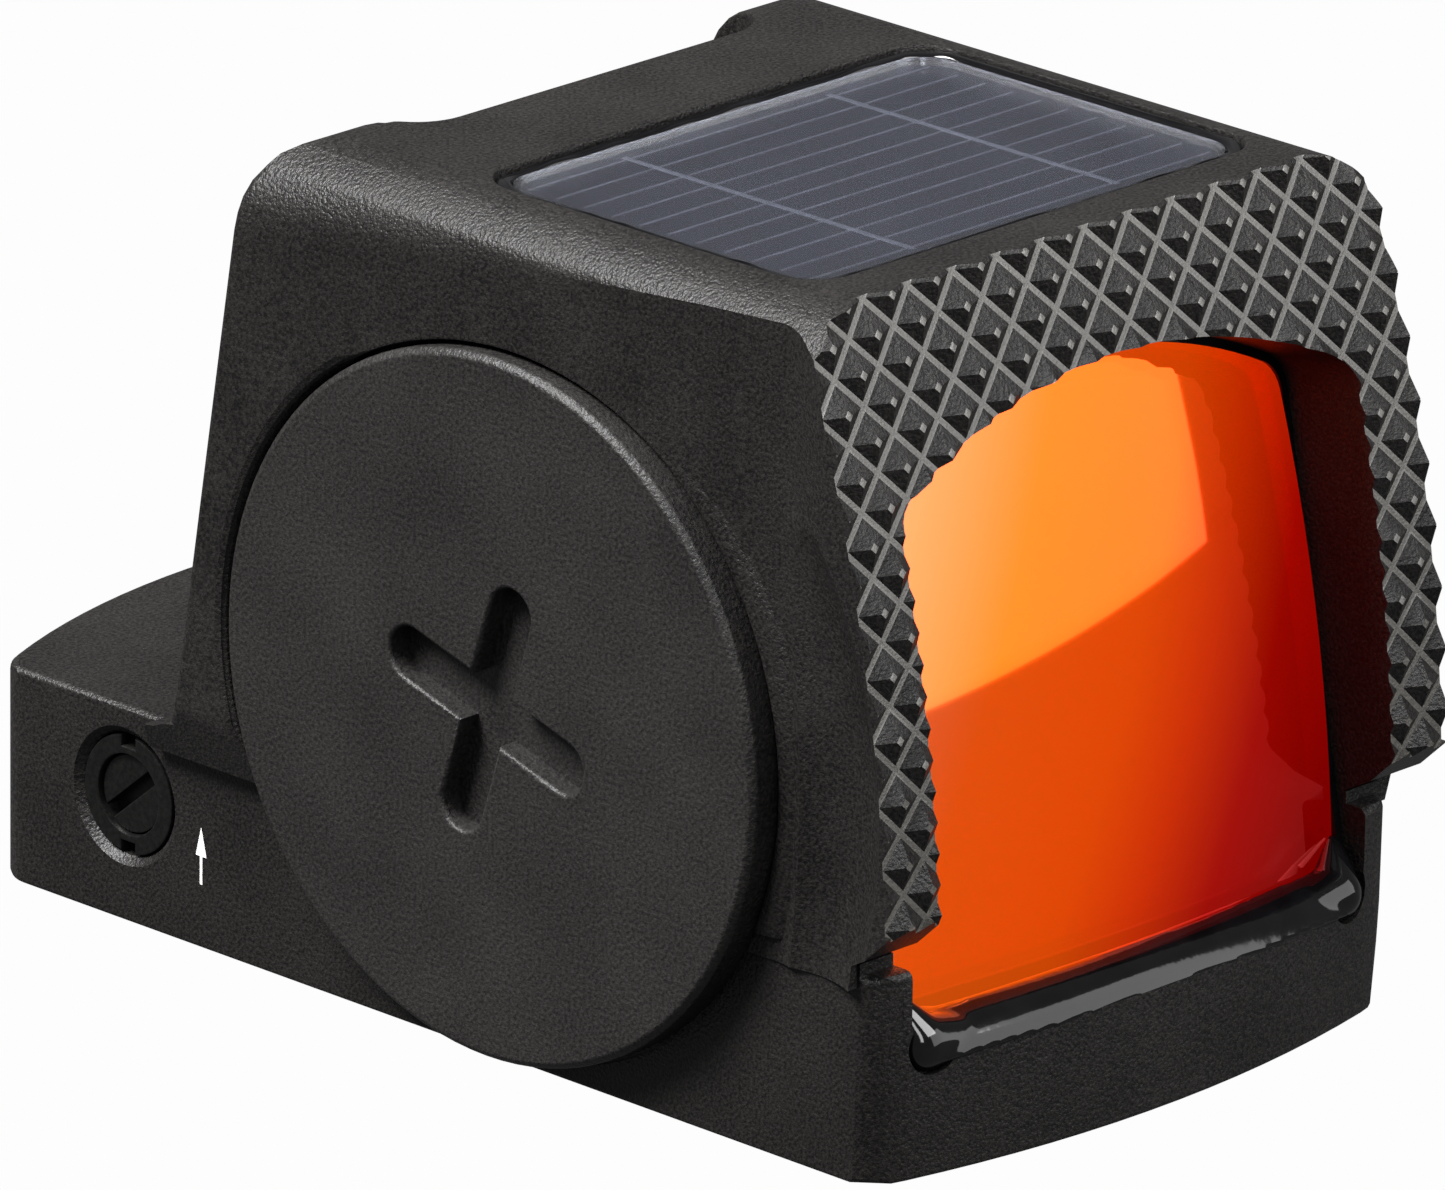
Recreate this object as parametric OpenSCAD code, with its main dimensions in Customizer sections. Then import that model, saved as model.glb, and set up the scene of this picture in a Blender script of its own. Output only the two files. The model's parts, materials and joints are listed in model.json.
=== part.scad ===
// Compact red dot finder: a hooded reflex sight on a short flat footprint.
// +Y is the way the user looks, +X is the user's right, +Z is up.
// The origin is the centre of the mounting face on the underside of the base.

/* [Base] */
// Width of the base block
base_w = 23.54; // [23.2:0.02:23.8]
// Height of the rear deck above the mounting face
deck_h = 7.3; // [7.2:0.05:7.6]
// Forward reach of the base at its middle
base_front = 18.7; // [18.6:0.05:18.8]
// Rearward reach of the base at its middle
base_rear = 23.7; // [23.4:0.1:24.5]
// Radius of the bowed front face, seen from above
front_bow_r = 46.3; // [44:0.1:60]
// Radius of the bowed rear face, seen from above
rear_bow_r = 27.9; // [26:0.1:34]

/* [Housing] */
// Full height of the finder
total_h = 27.83; // [27.8:0.01:28.2]
// Width of the hooded upper body
body_w = 25.8; // [25.7:0.02:25.9]
// Radius where the roof rolls into the side walls
shoulder_r = 3; // [2.6:0.1:3.2]
// Radius of the curved front face, seen from the side
hood_face_r = 60; // [56:0.5:66]
// Width of the sight tunnel's rear opening
rear_open_w = 20.4; // [20:0.1:20.6]

/* [Lens] */
// Backward lean of the lens
lens_tilt = 11; // [10.5:0.1:11.5]
// Half width of the lens pocket
pocket_half_w = 10.3; // [10.2:0.05:10.35]
// Radius of the front surface of the lens
lens_r = 58; // [56:0.5:62]
// Thickness of the cemented pair of lenses
lens_t = 2.4; // [2.2:0.05:2.4]

/* [Battery] */
// Diameter of the battery cap
cap_d = 23; // [22.9:0.02:23.1]
// Diameter of the coin cell
cell_d = 20; // [19.8:0.05:20]
// Thickness of the coin cell
cell_t = 3.2; // [3.1:0.02:3.2]
// Depth of the coin slot in the cap
slot_depth = 0.8; // [0.5:0.05:0.9]

/* [Adjusters] */
// Radius of the windage screw's head
windage_head_r = 1.3; // [1.2:0.02:1.32]
// Radius of the elevation screw's head
elevation_head_r = 1.3; // [1.2:0.02:1.32]

/* [Buttons] */
// Radius of a brightness button
button_r = 2.2; // [2:0.05:2.25]
// Distance between the two brightness buttons
button_pitch = 6.6; // [6.4:0.05:6.8]

/* [Hidden] */
$fn = 96;

half_base = base_w / 2;
half_body = body_w / 2;
gap = 0.05;             // running clearance round anything that turns or slides
eps = 0.01;
far = 40;               // longer than any part of the finder

// lens pocket, in the lens's own frame
lens_y = 16.3;
lens_z = 13.6;
lens_half_w = pocket_half_w - 0.3;
arch_r = 21;
arch_top = 10.3;
pocket_floor = -9.8;
pocket_depth = 3.6;
pocket_corner_r = 1.3;
bezel_h = 6.9;          // height of the face below the lens
cement_t = 0.02;
rear_element_t = lens_t * 0.55;

// solar panel
solar_y = 5.5;
solar_w = 20.2;
solar_l = 14.6;
solar_floor = 26.3;
solar_corner_r = 1.5;

// waist between the cap and the hood
taper_start = -6;
waist_y = 13.2;
waist_half = 11.85;
hood_back = 16;
hood_half = 12.65;
collar_face = 12.1;     // height of the collar round the cap
collar_roll_r = 1.6;
// valley that sweeps round the front of the collar, up to the hood
valley_r = 14.3;        // distance of its lowest line from the cap's axis
valley_round_r = 3.2;   // radius of its hollow section
valley_floor = 11.75;
valley_lean = 3.5;      // it runs out of the wall above and below the cap

// sight tunnel
tunnel_left = -8;
tunnel_right = 7;
tunnel_floor = 3.6;
tunnel_top = 24;
tunnel_rear = -9.7;
roof_rear = -6.3;
tunnel_front = 11;
beam_half_w = 4.2;
deck_front = -13;

// battery bay, on an axis along X
cap_r = cap_d / 2;
cap_y = 1.75;
cap_z = 11.95;
cap_face = 13;
cap_t = 1.25;
cap_seat = cap_face - cap_t - gap;
plug_r = 11;
plug_back = 9.6;
cell_back = 8.3;
bay_back = 8;
cell_r = cell_d / 2;
o_ring_r = 0.27;
slot_turn = -16.7;
slot_len = 8.7;
slot_w = 1.7;

// mounting screws and locating sockets
screw_x = 7.2;
screw_y = -11.6;
screw_hole_r = 1.6;
screw_head_r = 2.6;
screw_seat = 1.8;
socket_x = 9;
socket_front = 15.2;
socket_rear = -18.2;
socket_r = 1.25;
socket_depth = 1.9;

// windage and elevation adjusters
wind_y = -15.5;
wind_z = 4.25;
wind_shank_r = 0.8;
wind_ring_r = 2;
cavity_x = 5.6;
cavity_rear = -19.6;
cavity_front = -14.4;
cavity_top = 6.3;
elev_x = -0.5;
elev_y = -18.35;
elev_shank_r = 0.6;
elevation_head_z = 4.92;
block_left = -2.4;
block_right = 1.4;

// board bay under the tunnel floor
board_left = -8;
board_right = 5.2;
board_rear = -5.8;
board_front = 10.8;
cover_t = 0.8;
gasket_t = 0.2;
bay_top = 2.9;
cover_head_r = 0.8;
cover_shank_r = 0.5;
cover_screw_places = [[-9, -6.8], [-9, 11.8], [6.2, -6.8], [6.2, 11.8], [-5.6, -20.6], [5.6, -20.6]];

// brightness buttons in the left wall
button_y = 2.5;
button_z = 13;
button_face = -13.3;
bezel_out = -12.9;
keypad_floor = -9.5;
board_face = keypad_floor - 0.65;
button_travel = 0.3;

// points of an arc, from one angle to another
function arc(cx, cy, r, a0, a1, n = 8) =
    [for (i = [0:n]) let(a = a0 + (a1 - a0) * i / n) [cx + r * cos(a), cy + r * sin(a)]];

// forward reach of the hood's curved face at a height
hood_reach = 18.95;
hood_axis_z = 5.9;
function hood_y(z) = hood_reach - hood_face_r + sqrt(pow(hood_face_r, 2) - pow(z - hood_axis_z, 2));

// ---- placing ----

// local x is X, local y is up the lens, local z runs back through the lens
module lens_frame() {
    translate([0, lens_y, lens_z])
        rotate([90 + lens_tilt, 0, 0])
            children();
}

// a profile drawn in Y and Z, swept across X
module across(width) {
    rotate([90, 0, 90])
        translate([0, 0, -width / 2])
            linear_extrude(width)
                children();
}

// a cylinder along X from x0 to x1
module rod_x(r, x0, x1, y, z, r_end = undef) {
    translate([x0, y, z])
        rotate([0, 90, 0])
            cylinder(r1 = r, r2 = r_end == undef ? r : r_end, h = x1 - x0);
}

// a block given by its two corners
module block(a, b) {
    translate(a)
        cube(b - a);
}

// a rectangle with round corners, given by its two corners
module round_rect(a, b, r) {
    translate([a.x + r, a.y])
        square([b.x - a.x - 2 * r, b.y - a.y]);
    translate([a.x, a.y + r])
        square([b.x - a.x, b.y - a.y - 2 * r]);
    for (x = [a.x + r, b.x - r])
        for (y = [a.y + r, b.y - r])
            translate([x, y])
                circle(r, $fn = 32);
}

// ---- outlines ----

module footprint() {
    intersection() {
        translate([-half_base, -base_rear])
            square([base_w, base_front + base_rear]);
        translate([0, base_front - front_bow_r])
            circle(front_bow_r, $fn = 180);
        translate([0, rear_bow_r - base_rear])
            circle(rear_bow_r, $fn = 180);
    }
}

// the upper body seen from the side
module side_profile() {
    ear_r = 2.3;
    foot_r = 1.7;
    foot_y = -13.87;
    hood_foot = 9;
    n = 14;
    polygon(concat(
        [[foot_y, 6.5]],
        arc(foot_y, deck_h + foot_r, foot_r, -90, -9, 5),
        arc(-7.23, total_h - ear_r, ear_r, 171, 90, 6),
        [for (i = [0:n]) let(z = total_h + (hood_foot - total_h) * i / n) [hood_y(z), z]],
        [[17.7, 7.9], [16.6, 7.3], [16.6, 6.5]]));
}

// the upper body seen from the front
module front_profile() {
    wide_z = 8.5;
    half = concat(
        [[half_base, 4], [half_base, 5], [half_body, wide_z]],
        arc(half_body - shoulder_r, total_h - shoulder_r, shoulder_r, 0, 90, 8));
    other = [for (i = [len(half) - 1:-1:0]) [-half[i].x, half[i].y]];
    polygon(concat(half, other));
}

// half width of the upper body at a distance forward: it tapers, then flares out again at the hood
function body_half(y) =
    let(taper = half_body - (y - taper_start) * (half_body - waist_half) / (waist_y - taper_start),
        flare = (1 - cos(180 * (y - waist_y) / (hood_back - waist_y))) / 2)
    y <= taper_start ? half_body :
    y <= waist_y ? taper :
    y >= hood_back ? hood_half :
    waist_half + (hood_half - waist_half) * flare;

// the upper body seen from above
module plan_profile() {
    stations = concat([-16, taper_start], [for (i = [0:10]) waist_y + (hood_back - waist_y) * i / 10], [20]);
    polygon(concat(
        [for (y = stations) [body_half(y), y]],
        [for (i = [len(stations) - 1:-1:0]) [-body_half(stations[i]), stations[i]]]));
}

// outline of the lens pocket, across X and up the lens: a flat floor and an arch, with round corners
function pocket_points(inset) =
    let(w = pocket_half_w - inset,
        r = pocket_corner_r - inset / 2,
        arch = arch_r - inset,
        arch_y = arch_top - arch_r,
        rise = sqrt(pow(arch - r, 2) - pow(w - r, 2)),
        lean = atan2(rise, w - r),
        n = 14,
        right = concat(
            arc(w - r, pocket_floor + inset + r, r, -90, 0, 6),
            arc(w - r, arch_y + rise, r, 0, lean, 5),
            [for (i = [1:n]) let(a = lean + (90 - lean) * i / n) [arch * cos(a), arch_y + arch * sin(a)]]))
    concat(right, [for (i = [len(right) - 2:-1:0]) [-right[i].x, right[i].y]]);

module pocket_shape(inset = 0) {
    polygon(pocket_points(inset));
}

// outline of the bottom cover, grown or shrunk by g
module cover_shape(g = 0) {
    round_rect([-9.8 - g, -7.6 - g], [7 + g, 12.6 + g], 0.8 + g);
    translate([-3.8 - g, -14])
        square([7.6 + 2 * g, 7]);
    round_rect([-6.4 - g, -21.4 - g], [6.4 + g, -13.9 + g], 0.8 + g);
}

// the room inside the base: board bay, flex channel and emitter cavity
module inner_shape() {
    translate([board_left - 0.2, board_rear - 0.2])
        square([board_right - board_left + 0.4, board_front - board_rear + 0.4]);
    translate([-3, cavity_front - 0.2])
        square([6, board_rear - cavity_front + 0.4]);
}

module stadium(length, r) {
    for (y = [-1, 1])
        translate([0, y * (length / 2 - r)])
            circle(r);
    translate([-r, r - length / 2])
        square([2 * r, length - 2 * r]);
}

// ---- housing ----

// a low collar that rolls down from the edge of the cap's seat to the tapered wall
module cap_collar() {
    crest_r = cap_r + 0.35;
    intersection() {
        translate([collar_face - collar_roll_r, cap_y, cap_z])
            rotate([0, 90, 0])
                rotate_extrude($fn = 180)
                    intersection() {
                        union() {
                            translate([crest_r, 0])
                                circle(collar_roll_r, $fn = 48);
                            translate([crest_r - 2, -2])
                                square([2, 2 + collar_roll_r]);
                        }
                        translate([crest_r - 2, -1])
                            square([5, collar_roll_r + 1]);
                    }
        // it ends at the top of the base, which has a flat side
        block([0, -far, deck_h], [far, far, far]);
    }
}

// a ring leaned toward the front, so that it cuts in only between the collar and the hood
module collar_valley() {
    translate([valley_floor + valley_round_r + valley_r * sin(valley_lean), cap_y, cap_z])
        rotate([0, 0, valley_lean])
            rotate([0, 90, 0])
                rotate_extrude($fn = 180)
                    translate([valley_r, 0])
                        circle(valley_round_r, $fn = 72);
}

module outer_body() {
    difference() {
        linear_extrude(deck_h)
            footprint();
        // the bezel under the hood stands a little lower than the deck
        block([-half_base - 1, 16.7, bezel_h], [half_base + 1, far, deck_h + 1]);
    }
    intersection() {
        across(far)
            side_profile();
        translate([0, far / 2, 0])
            rotate([90, 0, 0])
                linear_extrude(2 * far, center = true)
                    front_profile();
        linear_extrude(far)
            plan_profile();
    }
    cap_collar();
}

module tunnel() {
    block([tunnel_left, tunnel_rear - 0.1, tunnel_floor], [tunnel_right, tunnel_front, tunnel_top]);
    block([-rear_open_w / 2, -far, deck_h], [rear_open_w / 2, tunnel_rear, tunnel_top]);
    block([-beam_half_w, deck_front, tunnel_floor], [beam_half_w, tunnel_rear, deck_h + eps]);
    // the roof is cut back between its two rear corners
    translate([0, 0, tunnel_top - 1])
        linear_extrude(far)
            round_rect([-8.2, -far], [8.2, roof_rear], 2);
}

module lens_pocket() {
    lobe_r = 0.95;
    lens_frame() {
        translate([0, 0, -far / 2])
            linear_extrude(far / 2 + pocket_depth)
                pocket_shape();
        // narrower window behind the ledge that the lens rests on
        translate([0, 0, pocket_depth - eps])
            linear_extrude(5)
                intersection() {
                    pocket_shape(1.6);
                    translate([tunnel_left, -far / 2])
                        square([tunnel_right - tunnel_left, far]);
                }
        for (side = [-1, 1])
            translate([side * (pocket_half_w - 0.85), pocket_floor + 0.45, -far / 2])
                cylinder(r = lobe_r, h = far / 2 + 1);
    }
}

module battery_bay() {
    rod_x(cell_r + 0.2, bay_back, plug_back, cap_y, cap_z);
    rod_x(plug_r + gap, plug_back - 0.4, cap_seat + eps, cap_y, cap_z);
    rod_x(cap_r + 0.15, cap_seat, far, cap_y, cap_z);
    // seats of the two cell contacts
    rod_x(3.1, bay_back - 0.3, bay_back + eps, cap_y, cap_z);
    block([cell_back, cap_y - 2.1, 1.45], [9.2, cap_y + 2.1, 2.2]);
}

module mounting_holes() {
    for (side = [-1, 1])
        translate([side * screw_x, screw_y, 0]) {
            translate([0, 0, -eps])
                cylinder(r = screw_hole_r, h = screw_seat + 1);
            translate([0, 0, screw_seat])
                cylinder(r = screw_head_r, h = tunnel_top - screw_seat);
            for (y = [socket_front, socket_rear])
                translate([side * (socket_x - screw_x), y - screw_y, -eps])
                    cylinder(r = socket_r, h = socket_depth + eps);
        }
}

module windage_bore() {
    ring_seat = 10.9;
    flare_back = 11.5;
    flare_t = 0.3;
    flare_w = 0.35;
    head_seat = 10.35;
    head_bore_r = 1.8;
    o_ring_seat = 9.45;
    o_ring_bore_r = 1.35;
    rod_x(wind_ring_r + gap, ring_seat, far, wind_y, wind_z);
    rod_x(wind_ring_r + gap, flare_back, flare_back + flare_t, wind_y, wind_z, wind_ring_r + flare_w);
    rod_x(head_bore_r, head_seat, ring_seat + eps, wind_y, wind_z);
    rod_x(o_ring_bore_r, o_ring_seat, head_seat + eps, wind_y, wind_z);
    rod_x(wind_shank_r + gap, cavity_x - eps, o_ring_seat + 0.55, wind_y, wind_z);
}

module emitter_cavity() {
    elevation_bore_r = 1.9;
    aperture_half_w = 2.2;
    aperture_z = [4.2, 6.3];
    window_half_w = 3;
    window_z = [4, 6.8];
    window_t = 0.6;
    block([-cavity_x, cavity_rear, 0], [cavity_x, cavity_front, cavity_top]);
    translate([elev_x, elev_y, 0])
        cylinder(r = elevation_bore_r, h = far);
    block([-aperture_half_w, cavity_front - eps, aperture_z[0]], [aperture_half_w, deck_front, aperture_z[1]]);
    block([-window_half_w, deck_front - window_t, window_z[0]],
        [window_half_w, deck_front + eps, window_z[1]]);
}

module board_bay() {
    cover_hole_depth = 3.2;
    channel_x = [-8.9, -8.5];
    channel_half_w = 1.4;
    channel_z = 1.5;
    translate([0, 0, -eps])
        linear_extrude(cover_t + gasket_t + eps)
            cover_shape(0.05);
    linear_extrude(bay_top)
        inner_shape();
    for (p = cover_screw_places)
        translate([p.x, p.y, 0])
            cylinder(r = cover_shank_r + gap, h = cover_hole_depth);
    // channel for the solar panel's flex
    block([channel_x[0], -channel_half_w, channel_z], [channel_x[1], channel_half_w, solar_floor + eps]);
    block([channel_x[0], -channel_half_w, channel_z], [board_left, channel_half_w, bay_top]);
}

module keypad_pocket() {
    translate([keypad_floor, button_y, button_z])
        rotate([0, -90, 0])
            linear_extrude(far)
                stadium(button_pitch + 2 * button_r + 1.4, button_r + 0.7);
}

module solar_recess() {
    translate([0, 0, solar_floor])
        linear_extrude(far)
            solar_shape(0);
}

module solar_shape(inset) {
    round_rect([inset - solar_w / 2, solar_y - solar_l / 2 + inset],
        [solar_w / 2 - inset, solar_y + solar_l / 2 - inset], solar_corner_r - inset / 2);
}

module housing() {
    color([0.16, 0.15, 0.145])
        difference() {
            outer_body();
            collar_valley();
            tunnel();
            lens_pocket();
            battery_bay();
            mounting_holes();
            windage_bore();
            emitter_cavity();
            board_bay();
            keypad_pocket();
            solar_recess();
        }
}

// ---- lens ----

// a curved plate of the lens outline, between two spheres on one centre
module lens_shell(near_r, away_r) {
    lens_frame()
        intersection() {
            translate([0, 0, -1])
                linear_extrude(pocket_depth + 0.9)
                    pocket_shape(pocket_half_w - lens_half_w);
            // the poles of the spheres are turned away from the lens
            translate([0, 0, lens_r])
                rotate([90, 0, 0])
                    difference() {
                        sphere(near_r, $fn = 240);
                        sphere(away_r, $fn = 240);
                    }
        }
}

module lens_front() {
    color([0.95, 0.35, 0.1, 0.6])
        lens_shell(lens_r, lens_r - lens_t + rear_element_t + cement_t);
}

module lens_rear() {
    color([0.8, 0.85, 0.9, 0.4])
        lens_shell(lens_r - lens_t + rear_element_t, lens_r - lens_t);
}

// cured sealant round the lens's edge, with a thick bead along its foot
module lens_sealant() {
    bead_top = pocket_floor + 1;
    color([0.06, 0.06, 0.08])
        lens_frame() {
            translate([0, 0, 1.2])
                linear_extrude(2.2)
                    difference() {
                        pocket_shape(0.01);
                        pocket_shape(pocket_half_w - lens_half_w - 0.01);
                    }
            intersection() {
                translate([1 - pocket_half_w, pocket_floor + 0.02, -3])
                    cube([2 * pocket_half_w - 2, bead_top - pocket_floor, 6]);
                translate([0, 0, lens_r])
                    rotate([90, 0, 0])
                        difference() {
                            sphere(lens_r + 0.9, $fn = 240);
                            sphere(lens_r + 0.03, $fn = 240);
                        }
            }
        }
}

// ---- solar panel ----

module solar_glass() {
    color([0.2, 0.22, 0.3, 0.5])
        translate([0, 0, 27.1])
            linear_extrude(0.5)
                solar_shape(0.5);
}

module solar_cell() {
    color([0.12, 0.14, 0.25])
        translate([0, 0, 26.6])
            linear_extrude(0.45)
                solar_shape(0.7);
}

module solar_gasket() {
    color([0.05, 0.05, 0.06])
        translate([0, 0, solar_floor])
            linear_extrude(1.35)
                difference() {
                    solar_shape(0.01);
                    solar_shape(0.48);
                }
}

module solar_flex() {
    color([0.75, 0.5, 0.2]) {
        block([-8.8, -1.2, 1.95], [-8.65, 1.2, 26.45]);
        block([-8.8, -1.2, 26.35], [-5, 1.2, 26.5]);
        block([-8.8, -1.2, 1.92], [-7, 1.2, 2.07]);
    }
}

// ---- battery ----

module coin_slot() {
    for (turn = [0, 90])
        rotate([turn + slot_turn, 0, 0])
            translate([cap_face - slot_depth, 0, 0])
                rotate([0, 90, 0])
                    linear_extrude(1)
                        stadium(slot_len, slot_w / 2);
}

module battery_cap() {
    edge = 0.2;
    color([0.17, 0.16, 0.155])
        difference() {
            union() {
                rod_x(cap_r, cap_face - cap_t, cap_face - edge, cap_y, cap_z);
                rod_x(cap_r, cap_face - edge, cap_face, cap_y, cap_z, cap_r - edge);
                rod_x(plug_r, plug_back, cap_face - cap_t + eps, cap_y, cap_z);
            }
            rod_x(cell_r + 0.15, plug_back - 1, cap_face - cap_t, cap_y, cap_z);
            // groove of the O-ring
            translate([10.9, cap_y, cap_z])
                rotate([0, 90, 0])
                    difference() {
                        cylinder(r = plug_r + 1, h = 0.62);
                        translate([0, 0, -1])
                            cylinder(r = plug_r - 0.52, h = 3);
                    }
            translate([0, cap_y, cap_z])
                coin_slot();
        }
}

module cap_o_ring() {
    color([0.08, 0.08, 0.08])
        translate([11.21, cap_y, cap_z])
            rotate([0, 90, 0])
                rotate_extrude()
                    translate([plug_r - 0.24, 0])
                        circle(o_ring_r, $fn = 24);
}

module coin_cell() {
    can_t = cell_t - 0.5;
    color([0.78, 0.78, 0.76]) {
        rod_x(cell_r, cell_back + 0.5, cell_back + 0.5 + can_t, cap_y, cap_z);
        rod_x(cell_r - 1.2, cell_back, cell_back + 0.5 + eps, cap_y, cap_z);
    }
}

module cell_spring() {
    color([0.8, 0.7, 0.4])
        rod_x(4, cell_back + cell_t + 0.02, cap_face - cap_t - 0.03, cap_y, cap_z);
}

module negative_contact() {
    color([0.85, 0.7, 0.35])
        rod_x(3, bay_back - 0.28, cell_back - 0.03, cap_y, cap_z);
}

module positive_contact() {
    color([0.85, 0.7, 0.35])
        block([cell_back + 0.55, cap_y - 2, 1.5], [9.15, cap_y + 2, 1.9]);
}

// ---- windage ----

module windage_screw() {
    slot_cut = 0.45;
    head_face = 11.45;
    color([0.2, 0.2, 0.2])
        difference() {
            union() {
                rod_x(1.75, 10.4, 10.85, wind_y, wind_z);
                rod_x(windage_head_r, 10.8, head_face, wind_y, wind_z);
                rod_x(wind_shank_r, 1.8, 10.5, wind_y, wind_z);
            }
            translate([head_face - 0.5, wind_y, wind_z])
                rotate([40, 0, 0])
                    translate([0, -2, -slot_cut / 2])
                        cube([1, 4, slot_cut]);
        }
}

module windage_ring() {
    color([0.15, 0.15, 0.15])
        difference() {
            rod_x(wind_ring_r, 10.92, 11.62, wind_y, wind_z);
            rod_x(windage_head_r + gap, 10, 12, wind_y, wind_z);
            for (side = [-1, 1])
                translate([11.2, wind_y - 0.3, wind_z + side * 1.9 - 0.3])
                    cube([1, 0.6, 0.6]);
        }
}

module windage_o_ring() {
    color([0.08, 0.08, 0.08])
        translate([9.9, wind_y, wind_z])
            rotate([0, 90, 0])
                rotate_extrude()
                    translate([1.08, 0])
                        circle(0.25, $fn = 24);
}

// ---- emitter ----

module windage_carriage() {
    left = -3.6;
    right = 3.8;
    front = cavity_front - 0.2;
    rear = cavity_rear + 0.3;
    color([0.75, 0.76, 0.78])
        difference() {
            block([left, rear, 1.2], [right, front, 6.1]);
            // upright slot that guides the emitter block
            block([block_left - gap, -17.35, 0], [block_right + gap, 0, 7]);
            // window for the emitter block's ear
            block([-2.1, cavity_rear, 0], [1.1, -17, 4.3]);
            translate([elev_x, elev_y, 0])
                cylinder(r = elev_shank_r + gap, h = 7);
            translate([elev_x, elev_y, elevation_head_z - 0.02])
                cylinder(r = elevation_head_r + gap, h = 3);
            // nut thread on the windage screw
            rod_x(wind_shank_r + gap, block_right, right + 1, wind_y, wind_z);
        }
}

// bowed leaf that takes up the carriage's backlash
module carriage_spring() {
    bow_r = 2.35;
    color([0.8, 0.8, 0.8])
        translate([-3.61 - bow_r, -17, 2])
            linear_extrude(3)
                difference() {
                    intersection() {
                        circle(bow_r);
                        translate([0.4, -3])
                            square([3, 6]);
                    }
                    circle(bow_r - 0.15);
                }
}

module elevation_screw() {
    slot_cut = 0.45;
    head_top = 7;
    color([0.2, 0.2, 0.2])
        difference() {
            translate([elev_x, elev_y, 0]) {
                translate([0, 0, elevation_head_z])
                    cylinder(r = elevation_head_r, h = head_top - elevation_head_z);
                translate([0, 0, 1.5])
                    cylinder(r = elev_shank_r, h = 4);
            }
            translate([elev_x - 2, elev_y - slot_cut / 2, head_top - 0.5])
                cube([4, slot_cut, 1]);
        }
}

module elevation_clip() {
    color([0.7, 0.7, 0.7])
        translate([elev_x, elev_y, 4.1])
            linear_extrude(0.15)
                difference() {
                    circle(1.1);
                    circle(elev_shank_r + 0.01);
                    translate([-0.4, -2])
                        square([0.8, 2]);
                }
}

module emitter_block() {
    color([0.7, 0.7, 0.72])
        difference() {
            union() {
                block([block_left, -17.3, 2], [block_right, -14.9, 5.7]);
                block([-1.9, -19.2, 2.2], [0.9, -17.2, 3.6]);
            }
            translate([elev_x, elev_y, 0])
                cylinder(r = elev_shank_r + gap, h = 7);
            // room for the screw's head, which the block rises past
            translate([elev_x, elev_y, elevation_head_z - 0.4])
                cylinder(r = elevation_head_r + gap, h = 3);
        }
}

module led_emitter() {
    color([0.9, 0.1, 0.1])
        block([-0.6, -14.88, 4.7], [0.6, -14.6, 5.6]);
}

module emitter_window() {
    color([0.6, 0.8, 0.9, 0.4])
        block([-2.95, deck_front - 0.58, 4.05], [2.95, deck_front - 0.05, 6.75]);
}

module emitter_flex() {
    color([0.75, 0.5, 0.2]) {
        block([-1.4, -16.9, 1.5], [0.4, board_rear + 1.2, 1.62]);
        block([-1.4, board_rear, 1.5], [0.4, board_rear + 1.2, 2.05]);
    }
}

// ---- boards and buttons ----

module main_board() {
    board_z = 1.3;
    color([0.1, 0.4, 0.2])
        difference() {
            block([board_left, board_rear + 1.3, board_z], [board_right, board_front, board_z + 0.6]);
            for (x = [board_left + 1, board_right - 1])
                translate([x, board_front - 1, 0])
                    cylinder(r = 0.5, h = 4);
        }
}

module controller_chip() {
    color([0.1, 0.1, 0.1])
        block([-3, 1, 1.9], [1, 5, 2.6]);
}

module button_board() {
    color([0.1, 0.4, 0.2])
        translate([keypad_floor - 0.05, button_y, button_z])
            rotate([0, -90, 0])
                linear_extrude(0.6)
                    stadium(button_pitch + 2 * button_r + 1.2, button_r + 0.6);
}

module at_buttons(side) {
    translate([0, button_y + side * button_pitch / 2, button_z])
        children();
}

module dome_switches() {
    color([0.8, 0.8, 0.78])
        for (side = [-1, 1])
            at_buttons(side)
                rod_x(0.8, board_face - button_travel - 0.04, board_face, 0, 0, 1.6);
}

module button_shape() {
    rod_x(1, -11.7, board_face - button_travel - 0.05, 0, 0);
    rod_x(button_r + 0.35, -12.05, -11.65, 0, 0);
    rod_x(button_r, button_face + 0.15, -12, 0, 0);
    rod_x(button_r - 0.15, button_face, button_face + 0.15, 0, 0, button_r);
}

module up_button() {
    color([0.12, 0.12, 0.12])
        at_buttons(1)
            button_shape();
}

module down_button() {
    color([0.12, 0.12, 0.12])
        at_buttons(-1)
            button_shape();
}

module button_bezel() {
    color([0.14, 0.14, 0.14])
        difference() {
            translate([-12.1, button_y, button_z])
                rotate([0, -90, 0])
                    linear_extrude(-12.1 - bezel_out)
                        stadium(button_pitch + 2 * button_r + 1.3, button_r + 0.65);
            for (side = [-1, 1])
                at_buttons(side)
                    rod_x(button_r + gap, -14, -11, 0, 0);
        }
}

// ---- bottom cover ----

module bottom_cover() {
    color([0.3, 0.3, 0.3])
        difference() {
            linear_extrude(cover_t)
                cover_shape();
            for (p = cover_screw_places)
                translate([p.x, p.y, 0]) {
                    cylinder(r = cover_shank_r + gap, h = 2);
                    translate([0, 0, -eps])
                        cylinder(r = cover_head_r + gap, h = 0.46);
                }
        }
}

module cover_gasket() {
    color([0.1, 0.1, 0.1])
        translate([0, 0, cover_t])
            linear_extrude(gasket_t)
                difference() {
                    cover_shape(-0.05);
                    inner_shape();
                    translate([-cavity_x, cavity_rear])
                        square([2 * cavity_x, cavity_front - cavity_rear]);
                    for (p = cover_screw_places)
                        translate(p)
                            circle(cover_shank_r + gap);
                }
}

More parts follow.
